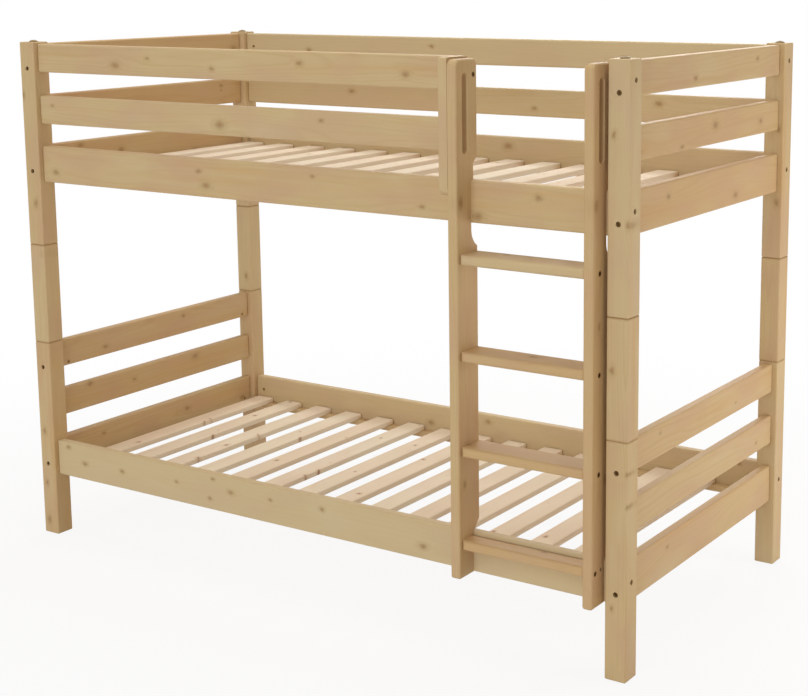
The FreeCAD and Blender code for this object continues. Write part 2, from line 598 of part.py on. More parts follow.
def barrel_nut():
    piece = peg("barrel_nut", "nut_diameter", "nut_length")
    bore(piece, "x", ("-nut_diameter / 2 - overrun", "0", "0"), "nut_diameter + 2 * overrun", "nut_bore_diameter")
    slit = piece.newObject("PartDesign::SubtractiveBox", "DriverSlot")
    bind(slit, Length="nut_diameter + 2 * overrun", Width="nut_slot_width", Height="nut_slot_depth + overrun",
         Placement__Base__x="-nut_diameter / 2 - overrun", Placement__Base__y="-nut_slot_width / 2",
         Placement__Base__z="nut_length / 2 - nut_slot_depth")
    return piece


def sleeve(name, diameter, length):
    piece = body(name, False)
    rod(piece, diameter, "0", length)
    bore(piece, "z", ("0", "0", "-overrun"), length + " + 2 * overrun", "nut_bore_diameter")
    return piece


def cap():
    piece = body("cap", False)
    turning = piece.newObject("PartDesign::Revolution", "Turning")
    turning.Profile = sketch_on(piece, "XZ_Plane", [
        ("0", "-cap_stem_length"), ("pin_diameter / 2", "-cap_stem_length"), ("pin_diameter / 2", "0"),
        ("cap_diameter / 2", "0"), ("cap_diameter / 2", "cap_rim"), ("0", "cap_height", "cap_dome_radius", 1),
    ])
    turning.ReferenceAxis = (turning.Profile[0], ["V_Axis"])
    turning.Angle = FULL_TURN
    return piece


HEXAGON = 6
FULL_TURN = 360
frame_bolt = bolt("frame_bolt", "post_side - counterbore_depth + nut_setback + bolt_overreach")
rung_bolt = bolt("rung_bolt", "stringer_thickness - stringer_recess_depth + nut_setback + bolt_overreach")
foot_bolt = bolt("foot_bolt", "rail_thickness - counterbore_depth + foot_nut_inset + bolt_overreach")
guard_bolt = bolt("guard_bolt", "stringer_thickness - stringer_recess_depth + strut_thickness + nut_setback"
                  " + bolt_overreach")
post_bolt = bolt("post_bolt", "post_side - counterbore_depth + ladder_gap + insert_length - peg_end_gap")
screw = bolt("screw", "screw_length", "screw_diameter", "screw_head")
nut = barrel_nut()
insert = sleeve("insert", "nut_diameter", "insert_length")
spacer = sleeve("spacer", "spacer_diameter", "ladder_gap")
dowel = peg("dowel", "dowel_diameter", "2 * (dowel_depth - peg_end_gap)")
rung_dowel = peg("rung_dowel", "rung_dowel_diameter", "rung_dowel_depth + rung_dowel_seat - 2 * peg_end_gap")
pin = peg("pin", "pin_diameter", "2 * pin_depth")
post_cap = cap()
doc.recompute()


def copy(model, across, deep, rise, along=Z, side=X):
    # One more of a kind, its own Z laid along one direction and its own X along another
    link = doc.addObject("App::Link", model.Name + "_copy")
    link.LinkedObject = model
    return place(link, across, deep, rise, turned(along, side))


def group(name, copies):
    kit = doc.addObject("Part::Compound", name)
    kit.Label = name
    kit.Links = copies
    nodes.append(kit)


for bed, foot in BEDS.items():
    bolts, nuts, dowels = [], [], []
    for end_name, end in ENDS.items():
        for side_name, side in SIDES.items():
            guarded = bed == "upper" and (end_name, side_name) in HAS_GUARD
            for rise in ["side_bolt_rise"] + (["guard_bolt_rise"] if guarded else []):
                rise = foot + " + " + rise
                bolts.append(copy(frame_bolt, "%d * (bed_length / 2 - counterbore_depth)" % end,
                                  "%d * rail_deep" % side, rise, X * -end, Y))
                nuts.append(copy(nut, "%d * (inner_across - nut_setback)" % end, "%d * rail_deep" % side, rise,
                                 Y * -side, X))
            for rise in END_BOLTS:
                rise = foot + " + " + rise
                bolts.append(copy(frame_bolt, "%d * rail_across" % end,
                                  "%d * (bed_width / 2 - counterbore_depth)" % side, rise, Y * -side, X))
                nuts.append(copy(nut, "%d * rail_across" % end, "%d * (inner_deep - nut_setback)" % side, rise,
                                 X * -end, Y))
            for rise in [SIDE_PEG] + (GUARD_PEGS if guarded else []):
                dowels.append(copy(dowel, "%d * inner_across" % end, "%d * rail_deep" % side, foot + " + " + rise,
                                   X, Y))
            for rise in END_PEGS:
                dowels.append(copy(dowel, "%d * rail_across" % end, "%d * inner_deep" % side, foot + " + " + rise,
                                   Y, X))
    group(bed + "_frame_bolts", bolts)
    group(bed + "_barrel_nuts", nuts)
    group(bed + "_rail_dowels", dowels)
    middle = "(%d - (slat_count - 1) / 2) * slat_pitch + " + bed + "_slat_shift"
    group(bed + "_slats", [copy(slat, middle % number, "0", foot + " + slat_seat_rise") for number in slat_numbers])

corners = [("%d * post_across" % end, "%d * post_deep" % side) for end in ENDS.values() for side in SIDES.values()]
group("post_pins", [copy(pin, *corner, rise) for corner in corners for rise in ("long_post", "upper_bed")])
group("post_caps", [copy(post_cap, *corner, "upper_bed + long_post") for corner in corners])

screws = []
for foot in BEDS.values():
    for side in SIDES.values():
        for number in screw_numbers:
            screws.append(copy(screw, screw_place(number),
                               "%d * (ledger_deep - ledger_width / 2 + screw_recess_depth)" % side,
                               foot + " + ledger_rise + ledger_height / 2", Y * side, X))
group("ledger_screws", screws)

screws = [copy(screw, across, "-(rail_back_deep + screw_recess_depth)",
               "upper_bed + side_rail_rise + " + rise, -Y, X) for across, rise in rail_screws]
screws += [copy(screw, "left_stringer - screw_recess_depth", "-(rail_deep)", "upper_bed + " + rise, -X, Y)
           for rise in MIDDLE_PEGS]
group("ladder_screws", screws)

bolts, nuts, dowels = [], [], []
for end in ENDS.values():
    outer = "left_stringer + stringer_recess_depth" if end < 0 else (
        "right_stringer + stringer_thickness - stringer_recess_depth")
    inner = "left_stringer + stringer_thickness" if end < 0 else "right_stringer"
    for number in RUNGS:
        bolt_deep = "-(ladder_front - rung_setback - %s)" % rung_inset(number, "bolt")
        peg_deep = "-(ladder_front - rung_setback - %s)" % rung_inset(number, "dowel")
        bolts.append(copy(rung_bolt, outer, bolt_deep, rung_rise(number), X * -end, Y))
        nuts.append(copy(nut, "%s - %d * nut_setback" % (inner, end), bolt_deep, rung_rise(number), -Z, X))
        dowels.append(copy(rung_dowel, "%s - %d * (rung_dowel_depth - rung_dowel_seat) / 2" % (inner, end), peg_deep,
                           rung_rise(number), X, Y))
for across in STRINGER_MIDDLES:
    bolts.append(copy(foot_bolt, across, "-(rail_back_deep + counterbore_depth)", "foot_bolt_rise", -Y, X))
    nuts.append(copy(nut, across, "-(rail_face_deep + foot_nut_inset)", "foot_bolt_rise", X, Y))
guard_rise = "upper_bed + guard_bolt_rise"
bolts.append(copy(guard_bolt, "left_stringer + stringer_thickness - stringer_recess_depth", "-(rail_deep)",
                  guard_rise, -X, Y))
nuts.append(copy(nut, "strut_left - nut_setback", "-(rail_deep)", guard_rise, Y, X))
bolts.append(copy(post_bolt, "bed_length / 2 - counterbore_depth", "-(rail_deep)", guard_rise, -X, Y))
nuts.append(copy(insert, "right_stringer + stringer_thickness - insert_length", "-(rail_deep)", guard_rise, X,
                 Y))
group("ladder_bolts", bolts)
group("ladder_nuts", nuts)
group("rung_dowels", dowels)
group("ladder_spacer", [copy(spacer, "inner_across - ladder_gap", "-(rail_deep)", guard_rise, X, Y)])

doc.recompute()
for thing in doc.Objects:
    if "Invalid" in thing.State or "Error" in thing.State:
        raise RuntimeError("%s could not be built: %s" % (thing.Label, thing.State))
for node in nodes:
    if node.Shape.isNull() or not node.Shape.isValid():
        raise RuntimeError("%s has no valid shape" % node.Label)

os.makedirs("parts", exist_ok=True)
for node in nodes:
    node.Shape.exportStep("parts/%s.step" % node.Label)
print(len(nodes), "nodes,", sum(len(node.Shape.Solids) for node in nodes), "solids")
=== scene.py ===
import math
import random
import bmesh
import bpy
from mathutils import Matrix, Vector


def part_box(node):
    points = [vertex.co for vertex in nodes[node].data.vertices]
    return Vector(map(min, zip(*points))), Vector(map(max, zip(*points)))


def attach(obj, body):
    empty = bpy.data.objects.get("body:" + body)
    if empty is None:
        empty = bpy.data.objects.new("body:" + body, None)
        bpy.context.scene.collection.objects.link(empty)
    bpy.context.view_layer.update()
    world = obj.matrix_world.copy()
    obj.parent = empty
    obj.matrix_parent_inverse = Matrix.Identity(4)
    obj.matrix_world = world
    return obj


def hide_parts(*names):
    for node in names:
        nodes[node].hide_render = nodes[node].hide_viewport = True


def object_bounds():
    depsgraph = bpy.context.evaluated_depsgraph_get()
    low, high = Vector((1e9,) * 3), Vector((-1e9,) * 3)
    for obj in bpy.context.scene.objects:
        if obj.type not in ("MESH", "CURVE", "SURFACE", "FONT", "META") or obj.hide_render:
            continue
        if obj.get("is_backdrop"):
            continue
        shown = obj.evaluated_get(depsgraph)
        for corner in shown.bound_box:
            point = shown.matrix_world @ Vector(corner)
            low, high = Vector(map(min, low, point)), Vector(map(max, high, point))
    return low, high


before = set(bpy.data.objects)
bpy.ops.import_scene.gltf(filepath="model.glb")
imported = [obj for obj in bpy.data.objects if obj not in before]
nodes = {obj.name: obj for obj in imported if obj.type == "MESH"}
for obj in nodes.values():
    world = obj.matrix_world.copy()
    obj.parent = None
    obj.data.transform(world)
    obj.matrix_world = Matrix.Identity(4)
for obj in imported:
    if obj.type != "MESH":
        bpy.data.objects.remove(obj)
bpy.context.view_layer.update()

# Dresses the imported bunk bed: pine boards with their own grain and knots, paler slats, steel bolts and screws.
# All sizes are in metres, in the frame's own axes. +Z is up and the ladder stands at the front (-Y).

print("frame loaded:", len(nodes), "nodes")


def linear(hexColour):  # sRGB hex to the linear values that sockets take, with full alpha
    channels = [int(hexColour[i:i + 2], 16) / 255 for i in (1, 3, 5)]
    return [c / 12.92 if c <= 0.04045 else ((c + 0.055) / 1.055) ** 2.4 for c in channels] + [1.0]


def addNode(tree, kind, inputs=None, stops=None, **settings):  # inputs hold values, hex colours or sockets to link
    node = tree.nodes.new(kind)
    for name, setting in settings.items():
        setattr(node, name, setting)
    for key, source in (inputs or {}).items():
        socket = node.inputs[key]
        if isinstance(source, bpy.types.NodeSocket):
            tree.links.new(source, socket)
        else:
            socket.default_value = linear(source) if isinstance(source, str) and source[0] == "#" else source
    for number, (place, shade) in enumerate(stops or []):
        marks = node.color_ramp.elements
        mark = marks[number] if number < len(marks) else marks.new(place)
        mark.position, mark.color = place, linear(shade)
    return node


def newMaterial(name):
    material = bpy.data.materials.new(name)
    material.use_nodes = True
    material.node_tree.nodes.clear()
    return material, material.node_tree


def finishShader(tree, **inputs):
    shader = addNode(tree, "ShaderNodeBsdfPrincipled", {key.replace("_", " "): v for key, v in inputs.items()})
    addNode(tree, "ShaderNodeOutputMaterial", {"Surface": shader.outputs[0]})


# Scots pine, sanded and clear oiled: cream earlywood, thin tan latewood rings, brown knots, a soft satin sheen
pineLook = {
    "earlyWood": "#CEB387", "lateWood": "#B7935E", "warmStreak": "#C89A66", "paleStreak": "#D2C09A",
    "blushWood": "#C6A286", "knotHeart": "#85623E", "knotWood": "#A5825A", "knotRim": "#906D49",
    "knotHalo": "#B5976A", "endDarkening": 0.22, "ringWidth": 0.0056, "ringContrast": 0.34, "waver": 0.050,
    "fibreWaver": 0.0022, "grainSwell": 0.005, "roughness": 0.46, "bumpDistance": 0.0005,
}
# Pine sapwood, planed and left bare: nearly white with a pink cast, small dark knots, a dry matt surface
sapwoodLook = {
    "earlyWood": "#F2E4CD", "lateWood": "#E0CAAA", "warmStreak": "#EBD2B7", "paleStreak": "#F6EEDD",
    "blushWood": "#EDD7C2", "knotHeart": "#6E4428", "knotWood": "#9E6E4A", "knotRim": "#7C5034",
    "knotHalo": "#CFAA86", "endDarkening": 0.15, "ringWidth": 0.0044, "ringContrast": 0.40, "waver": 0.040,
    "fibreWaver": 0.0018, "grainSwell": 0.005, "roughness": 0.62, "bumpDistance": 0.0004,
}


def growWood(name, look):  # a node group: a board's own coordinates in, colour, roughness and normal out
    tree = bpy.data.node_groups.new(name, "ShaderNodeTree")
    sockets = {"INPUT": {"Board": "Vector", "Pith": "Vector", "Knot": "Float", "End": "Float", "Tone": "Float"},
               "OUTPUT": {"Colour": "Color", "Roughness": "Float", "Normal": "Vector"}}
    for side, kinds in sockets.items():
        for label, kind in kinds.items():
            tree.interface.new_socket(label, in_out=side, socket_type="NodeSocket" + kind)
    given = addNode(tree, "NodeGroupInput").outputs
    fromPith = addNode(tree, "ShaderNodeVectorMath", {0: given["Board"], 1: given["Pith"]},
                       operation="SUBTRACT").outputs[0]
    # Each noise is drawn out along the grain. Real fibres are finer than a pixel, so these are about 2 mm wide
    noises = {}
    for label, stretch, detail in (("slow", (1.3, 7.0, 7.0), 2.0), ("quick", (9.0, 80.0, 80.0), 2.0),
                                   ("warm", (0.9, 26.0, 26.0), 3.0), ("pale", (3.2, 15.0, 15.0), 2.0),
                                   ("blush", (5.0, 11.0, 11.0), 1.0), ("fibre", (16.0, 520.0, 520.0), 2.0)):
        drawn = addNode(tree, "ShaderNodeMapping", {"Vector": fromPith, "Scale": stretch}).outputs[0]
        noises[label] = addNode(tree, "ShaderNodeTexNoise", {"Vector": drawn, "Scale": 1.0,
                                "Detail": detail}).outputs["Fac"]
    # Growth rings lie round the pith, waver slowly along the trunk and swell round each knot
    across = addNode(tree, "ShaderNodeVectorMath", {0: fromPith, 1: (0.0, 1.0, 1.0)},
                     operation="MULTIPLY").outputs[0]
    ringPlace = addNode(tree, "ShaderNodeVectorMath", {0: across}, operation="LENGTH").outputs["Value"]
    swellNear, swellFar = 0.4, 3.6  # in the knot's radii
    swell = addNode(tree, "ShaderNodeMapRange", {0: given["Knot"], 1: swellNear, 2: swellFar,
                    3: look["grainSwell"], 4: 0.0}, interpolation_type="SMOOTHSTEP").outputs[0]
    for push, by in ((noises["slow"], look["waver"]), (noises["quick"], look["fibreWaver"]), (swell, 1.0)):
        ringPlace = addNode(tree, "ShaderNodeMath", {0: push, 1: by, 2: ringPlace},
                            operation="MULTIPLY_ADD").outputs[0]
    phase = addNode(tree, "ShaderNodeMath", {0: ringPlace, 1: look["ringWidth"]}, operation="DIVIDE").outputs[0]
    ringNumber = addNode(tree, "ShaderNodeMath", {0: phase}, operation="FLOOR").outputs[0]
    ringShare = addNode(tree, "ShaderNodeMath", {0: phase}, operation="FRACT").outputs[0]
    ring = addNode(tree, "ShaderNodeValToRGB", {0: ringShare}, stops=[
        (0.0, "#383838"), (0.12, "#000000"), (0.5, "#303030"), (0.86, "#FFFFFF"), (1.0, "#404040")]).outputs[0]
    luck = addNode(tree, "ShaderNodeTexWhiteNoise", {"W": ringNumber}, noise_dimensions="1D").outputs["Value"]
    strength = addNode(tree, "ShaderNodeMapRange", {0: luck, 3: 0.35 * look["ringContrast"],
                       4: look["ringContrast"]}).outputs[0]
    late = addNode(tree, "ShaderNodeMath", {0: ring, 1: strength}, operation="MULTIPLY").outputs[0]
    knotShade = addNode(tree, "ShaderNodeValToRGB", {0: given["Knot"]}, stops=[
        (0.0, look["knotHeart"]), (0.28, look["knotWood"]), (0.75, look["knotWood"]),
        (0.97, look["knotRim"])]).outputs[0]
    # Rings, resin streaks, paler and pinker wood, fibres, the board's tone, on some boards partly painted light,
    # each knot's darker surround, the knot itself, which also carries painted shade at post joints and stringer
    # grooves, and
    # cut ends. A knot has no hard outline: it fades from a third of its radius to a little past it
    wood = look["earlyWood"]
    for source, low, high, least, most, shade in (
            (late, 0.0, 1.0, 0.0, 1.0, look["lateWood"]),
            (noises["warm"], 0.50, 0.78, 0.0, 0.55, look["warmStreak"]),
            (noises["pale"], 0.52, 0.80, 0.0, 0.60, look["paleStreak"]),
            (noises["blush"], 0.44, 0.66, 0.0, 0.45, look["blushWood"]),
            (noises["fibre"], 0.3, 0.7, 0.0, 0.10, look["lateWood"]),
            (given["Tone"], 0.0, 1.0, 0.0, 0.45, look["warmStreak"]),
            (given["Tone"], -1.0, 0.0, 0.6, 0.0, look["paleStreak"]),
            (given["Knot"], 0.9, 2.6, 0.45, 0.0, look["knotHalo"]),
            (given["Knot"], 0.35, 1.25, 0.74, 0.0, knotShade),
            (given["End"], 0.0, 1.0, 0.0, look["endDarkening"], look["lateWood"])):
        amount = addNode(tree, "ShaderNodeMapRange", {0: source, 1: low, 2: high, 3: least, 4: most}).outputs[0]
        wood = addNode(tree, "ShaderNodeMix", {0: amount, 6: wood, 7: shade}, data_type="RGBA").outputs[2]
    # Latewood is denser: it shines more, and its lines are drawn as shallow grooves between the rougher fibres
    lateShine, fibreDullness, lateDepth = 0.12, 0.12, 0.8
    polished = addNode(tree, "ShaderNodeMath", {0: late, 1: -lateShine, 2: look["roughness"]},
                       operation="MULTIPLY_ADD").outputs[0]
    roughness = addNode(tree, "ShaderNodeMath", {0: noises["fibre"], 1: fibreDullness, 2: polished},
                        operation="MULTIPLY_ADD").outputs[0]
    height = addNode(tree, "ShaderNodeMath", {0: late, 1: -lateDepth, 2: noises["fibre"]},
                     operation="MULTIPLY_ADD").outputs[0]
    normal = addNode(tree, "ShaderNodeBump", {"Strength": 0.5, "Distance": look["bumpDistance"],
                     "Height": height}).outputs[0]
    addNode(tree, "NodeGroupOutput", {"Colour": wood, "Roughness": roughness, "Normal": normal})
    return tree


pine = growWood("pineGrowth", pineLook)
sapwood = growWood("sapwoodGrowth", sapwoodLook)


def boardTurn(low, high):  # rows: along the grain, across the wide face, through the thickness
    sides = high - low
    order = sorted(range(3), key=lambda axis: -round(sides[axis], 4))
    along, across = (Vector([1.0 if axis == chosen else 0.0 for axis in range(3)]) for chosen in order[:2])
    return Matrix((along, across, along.cross(across)))


def knotField(tree, spots, knots):  # how far a point is from the nearest knot, in that knot's radii
    outlineScale, outlinePush, farAway = 70.0, (0.009, 0.009, 0.009), 99.0  # a knot's outline is ragged
    ragged = addNode(tree, "ShaderNodeTexNoise", {"Vector": spots, "Scale": outlineScale,
                     "Detail": 1.0}).outputs["Color"]
    centred = addNode(tree, "ShaderNodeVectorMath", {0: ragged, 1: (0.5, 0.5, 0.5)},
                      operation="SUBTRACT").outputs[0]
    spots = addNode(tree, "ShaderNodeVectorMath", {0: centred, 1: outlinePush, 2: spots},
                    operation="MULTIPLY_ADD").outputs[0]
    nearest = farAway
    for place, scale in knots:  # place in mm, scale in radii to the metre
        moved = [-at / 1000 * stretch for at, stretch in zip(place, scale)]
        spot = addNode(tree, "ShaderNodeMapping", {"Vector": spots, "Scale": scale, "Location": moved}).outputs[0]
        away = addNode(tree, "ShaderNodeVectorMath", {0: spot}, operation="LENGTH").outputs["Value"]
        nearest = addNode(tree, "ShaderNodeMath", {0: away, 1: nearest}, operation="MINIMUM").outputs[0]
    return nearest


def finishBoard(tree, growth, along, sources):  # a cut end faces along the grain
    normal = addNode(tree, "ShaderNodeNewGeometry").outputs["Normal"]
    facing = addNode(tree, "ShaderNodeVectorMath", {0: normal, 1: along}, operation="DOT_PRODUCT").outputs["Value"]
    end = addNode(tree, "ShaderNodeMath", {0: facing}, operation="ABSOLUTE").outputs[0]
    grown = addNode(tree, "ShaderNodeGroup", {**sources, "End": end}, node_tree=growth).outputs
    finishShader(tree, Base_Color=grown[0], Roughness=grown[1], Normal=grown[2], IOR=1.5, Specular_IOR_Level=0.15)


# A knot of radius 1 mm: its radii to the metre. It is longer along the grain, and a post's own fades with depth
knotShape = {"along": 620.0, "across": 1000.0, "depth": 28.0}
# How far a board's middle lies from the pith of its trunk, in metres
pithRange = {"along": 9.0, "across": 0.045, "nearest": 0.03, "deepest": 0.10}
# Painted shade, as dark as a knot, where two post parts meet, where their end grain also takes the oil darker,
# and down in a stringer's routed groove.
# In metres from a post's end, from the stringer's middle and from its face, and the shades in knot radii
oilAndPaintedShade = {"jointStart": 0.009, "jointEnd": 0.0005, "grooveEdge": 0.021, "grooveClear": 0.024,
            "grooveDeep": 0.0040, "grooveRim": 0.0004, "darkest": 0.0, "grooveShade": 0.2, "clear": 3.0}


def dressBoard(name, knots, tone, seed):
    low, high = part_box(name)
    draw = random.Random(seed)
    turn = boardTurn(low, high)
    centre = (low + high) / 2
    material, tree = newMaterial("pineOiled_" + name)
    place = addNode(tree, "ShaderNodeTexCoord").outputs["Object"]
    board = addNode(tree, "ShaderNodeMapping", {"Vector": place, "Location": -(turn @ centre),
                    "Rotation": turn.to_euler()}).outputs[0]
    # A thin board's knot goes through it, and a post's ends in the wood under its own face
    nearest = knotField(tree, board, [
        ((along, across, *face, 0.0)[:3],
         (knotShape["along"] / radius, knotShape["across"] / radius, knotShape["depth"] if face else 0.0))
        for along, across, radius, *face in knots])
    # Each row of painted shade: the board's axis, the distances from its middle between which the shade changes,
    # and both shades
    halfThin, halfLong = min(high - low) / 2, max(high - low) / 2
    darkened = {"middle": [(0, halfLong - oilAndPaintedShade["jointStart"], halfLong - oilAndPaintedShade["jointEnd"],
                            oilAndPaintedShade["clear"], oilAndPaintedShade["darkest"])],
                "ladder_stringer": [(1, oilAndPaintedShade["grooveEdge"], oilAndPaintedShade["grooveClear"],
                                     oilAndPaintedShade["darkest"], oilAndPaintedShade["clear"]),
                                    (2, halfThin - oilAndPaintedShade["grooveDeep"], halfThin - oilAndPaintedShade["grooveRim"],
                                     oilAndPaintedShade["grooveShade"], oilAndPaintedShade["clear"])]}
    # The painted shade joins the knot field, so the shaded lines take a knot's dark colours
    split = addNode(tree, "ShaderNodeSeparateXYZ", {0: board}).outputs
    for start, rows in darkened.items():
        if name.startswith(start):
            reached = 0.0
            for axis, least, most, inner, outer in rows:
                apart = addNode(tree, "ShaderNodeMath", {0: split[axis]}, operation="ABSOLUTE").outputs[0]
                shade = addNode(tree, "ShaderNodeMapRange", {0: apart, 1: least, 2: most,
                                3: inner, 4: outer}).outputs[0]
                reached = addNode(tree, "ShaderNodeMath", {0: shade, 1: reached}, operation="MAXIMUM").outputs[0]
            nearest = addNode(tree, "ShaderNodeMath", {0: nearest, 1: reached}, operation="MINIMUM").outputs[0]
    pith = (draw.uniform(-pithRange["along"], pithRange["along"]),
            draw.uniform(-pithRange["across"], pithRange["across"]),
            -draw.uniform(pithRange["nearest"], pithRange["deepest"]))
    finishBoard(tree, pine, turn[0], {"Board": board, "Pith": pith, "Knot": nearest, "Tone": tone})
    for slot in nodes[name].material_slots:
        slot.material = material


# Knots in mm: along and across from the board's middle, radius, and on a post the face it shows on
boardKnots = {
    "guard_rail_front_top": [(-429, -13, 9), (-300, 9, 4), (-54, -13, 5), (260, 12, 6), (610, -8, 7)],
    "guard_rail_front_middle": [(-700, 14, 4), (-31, -12, 10), (330, 16, 5)],
    "upper_side_rail_front": [(-924, -21, 7), (-343, 17, 5), (-316, -21, 9), (70, 30, 4), (430, -26, 5),
                              (601, -37, 9), (780, 22, 6)],
    "lower_side_rail_front": [(-931, 39, 5), (-861, -2, 6), (-701, 0, 5), (-476, 7, 4), (-344, -21, 4),
                              (-329, 40, 4), (-262, 12, 6), (-112, 16, 4), (75, 22, 5), (420, -18, 7)],
    "upper_left_end_rail_top": [(408, -12, 10), (-160, 14, 5)],
    "upper_left_end_rail_middle": [(337, 21, 4), (337, 5, 3), (-60, -18, 7)],
    "upper_left_end_rail_bottom": [(-315, 41, 7), (-143, 10, 8), (200, -24, 6)],
    "lower_left_end_rail_top": [(-250, -15, 6), (110, 18, 5)],
    "upper_side_rail_back": [(-620, 20, 6), (104, 24, 9), (560, -30, 8)],
    "guard_rail_back_middle": [(-520, 12, 7), (201, -16, 5), (635, 16, 7)],
    "guard_rail_back_top": [(-700, -10, 6), (-190, 14, 5), (520, -14, 7)],
    "upper_right_end_rail_top": [(-113, -19, 6), (280, 12, 5)],
    "upper_right_end_rail_middle": [(12, 8, 9), (-186, -33, 5), (310, -6, 6)],
    "upper_right_end_rail_bottom": [(-260, 18, 6), (150, -28, 8)],
    "lower_right_end_rail_top": [(180, -14, 3), (-290, 20, 3)],
    "lower_right_end_rail_middle": [(330, -12, 4)],
    "lower_right_end_rail_bottom": [(-240, 22, 4)],
    "upper_post_front_left": [(149, -22, 6, -30), (-180, 9, 7, -30)],
    "lower_post_front_left": [(23, -8, 6, -30), (-145, -8, 6, -30), (-267, -7, 7, -30)],
    "upper_post_front_right": [(-84, 27, 5, -30), (130, -12, 5, -30)],
    "lower_post_front_right": [(230, 29, 3, -30), (147, 30, 3, -30), (-120, -10, 4, -30)],
    "ladder_stringer_left": [(314, -30, 10), (-90, 18, 6), (-420, -22, 6)],
    "ladder_stringer_right": [(335, -34, 9), (40, -16, 6), (-350, 20, 6)],
    "ladder_rung_1": [(44, 14, 6), (120, -40, 6)],
}
# Boards differ: 1 is the warmest tan, -1 the palest sapwood. The back rails and the lower bed's front rail are set
# paler, partly their own tone and partly painted light, for the brighter light that falls on them
boardTones = {"ladder_stringer_left": 0.1, "ladder_stringer_right": 0.5, "upper_side_rail_back": -0.6,
              "lower_side_rail_back": -0.6, "guard_rail_back_middle": -0.5, "guard_rail_back_top": -1.0,
              "upper_side_rail_front": 0.0, "lower_side_rail_front": -0.9, "guard_rail_front_top": -0.1,
              "guard_rail_front_middle": -0.2, "ladder_rung_1": 0.8, "ladder_rung_2": 0.6, "ladder_rung_3": 0.6,
              "ladder_rung_4": -0.6, "lower_left_end_rail_bottom": 0.0, "guard_rail_strut": -0.2}
boards = sorted(name for name in nodes if ("post" in name and not name.startswith(("post_p", "post_c")))
                or "rail_" in name and "dowel" not in name or "ledger_" in name and "screw" not in name
                or "stringer" in name or "ladder_rung" in name)
# Boards that aren't listed above get a knot in each stretch of this length in metres, and a tone in these ranges
scatter = {"stretch": 0.33, "acrossShare": 0.8, "radii": (4, 8), "postFaces": (-30, 30), "postTones": (-0.6, 0.1),
           "boardTones": (0.0, 0.8), "knotSeed": 200, "pithSeed": 40}
for number, name in enumerate(boards):
    draw = random.Random(scatter["knotSeed"] + number)
    sides = sorted(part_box(name)[1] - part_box(name)[0])
    spread = [sides[2] * 1000 / 2, sides[1] * 1000 / 2]
    count = max(1, round(sides[2] / scatter["stretch"]))
    face = (draw.choice(scatter["postFaces"]),) if "post" in name else ()
    scattered = [((2 * (i + draw.random()) / count - 1) * spread[0],
                  draw.uniform(-scatter["acrossShare"], scatter["acrossShare"]) * spread[1],
                  draw.uniform(*scatter["radii"]), *face) for i in range(count)]
    tone = draw.uniform(*scatter["postTones" if face else "boardTones"])
    dressBoard(name, boardKnots.get(name, scattered), boardTones.get(name, tone), scatter["pithSeed"] + number)
print("boards dressed:", len(boards))


def parts(name):  # the separate solids of a CAD node, each as its list of points
    copied = bmesh.new()
    copied.from_mesh(nodes[name].data)
    bmesh.ops.remove_doubles(copied, verts=copied.verts, dist=1e-6)
    unseen, found = set(copied.verts), []
    while unseen:
        edge, solid = [unseen.pop()], []
        while edge:
            vert = edge.pop()
            solid.append(vert.co.copy())
            fresh = [other for link in vert.link_edges for other in [link.other_vert(vert)] if other in unseen]
            unseen.difference_update(fresh)
            edge.extend(fresh)
        found.append(solid)
    copied.free()
    return found


def extent(points):
    return tuple(Vector([pick(p[axis] for p in points) for axis in range(3)]) for pick in (min, max))


def shapeTree(name, sizes):  # a geometry tree with one named input for each size
    tree = bpy.data.node_groups.new(name, "GeometryNodeTree")
    tree.interface.new_socket("Geometry", in_out="INPUT", socket_type="NodeSocketGeometry")
    tree.interface.new_socket("Geometry", in_out="OUTPUT", socket_type="NodeSocketGeometry")
    for label, size in sizes.items():
        kind = "Int" if isinstance(size, int) else "Float" if isinstance(size, float) else "Material"
        tree.interface.new_socket(label, in_out="INPUT", socket_type="NodeSocket" + kind)
    return tree, addNode(tree, "NodeGroupInput").outputs


def softShade(tree, shape):  # smooth faces, with an edge sharper than 40 degrees left crisp
    faces = addNode(tree, "GeometryNodeSetShadeSmooth", {"Geometry": shape, "Shade Smooth": True}).outputs[0]
    angle = addNode(tree, "GeometryNodeInputMeshEdgeAngle").outputs[0]
    gentle = addNode(tree, "ShaderNodeMath", {0: angle, 1: math.radians(40)}, operation="LESS_THAN").outputs[0]
    return addNode(tree, "GeometryNodeSetShadeSmooth", {"Geometry": faces, "Shade Smooth": gentle},
                   domain="EDGE").outputs[0]


def finishTree(tree, instances, material):
    real = addNode(tree, "GeometryNodeRealizeInstances", {"Geometry": instances}).outputs[0]
    dressed = addNode(tree, "GeometryNodeSetMaterial", {"Geometry": real, "Material": material}).outputs[0]
    addNode(tree, "NodeGroupOutput", {"Geometry": dressed})


def growPiece(name, tree, sizes, places, aims=None, reaches=None):
    carrier = bpy.data.meshes.new(name + "Places")
    carrier.from_pydata(places, [], [])
    if aims:
        aimed = carrier.attributes.new("aim", "FLOAT_VECTOR", "POINT").data
        aimed.foreach_set("vector", [part for aim in aims for part in aim])
        carrier.attributes.new("reach", "FLOAT", "POINT").data.foreach_set("value", reaches)
    piece = bpy.data.objects.new(name, carrier)
    bpy.context.scene.collection.objects.link(piece)
    modifier = piece.modifiers.new("Shape", "NODES")
    modifier.node_group = tree
    sockets = {item.name: item.identifier for item in tree.interface.items_tree if item.in_out == "INPUT"}
    for label, size in sizes.items():
        modifier[sockets[label]] = size
    evaluated = piece.evaluated_get(bpy.context.evaluated_depsgraph_get())
    mesh = bpy.data.meshes.new_from_object(evaluated)
    piece.modifiers.remove(modifier)
    piece.data = mesh
    mesh.name = name
    return piece


slatSizes = {"Edge Radius": 0.003, "Sideways Play": 0.0012, "Seed": 7}  # the rest is measured on the CAD's slats
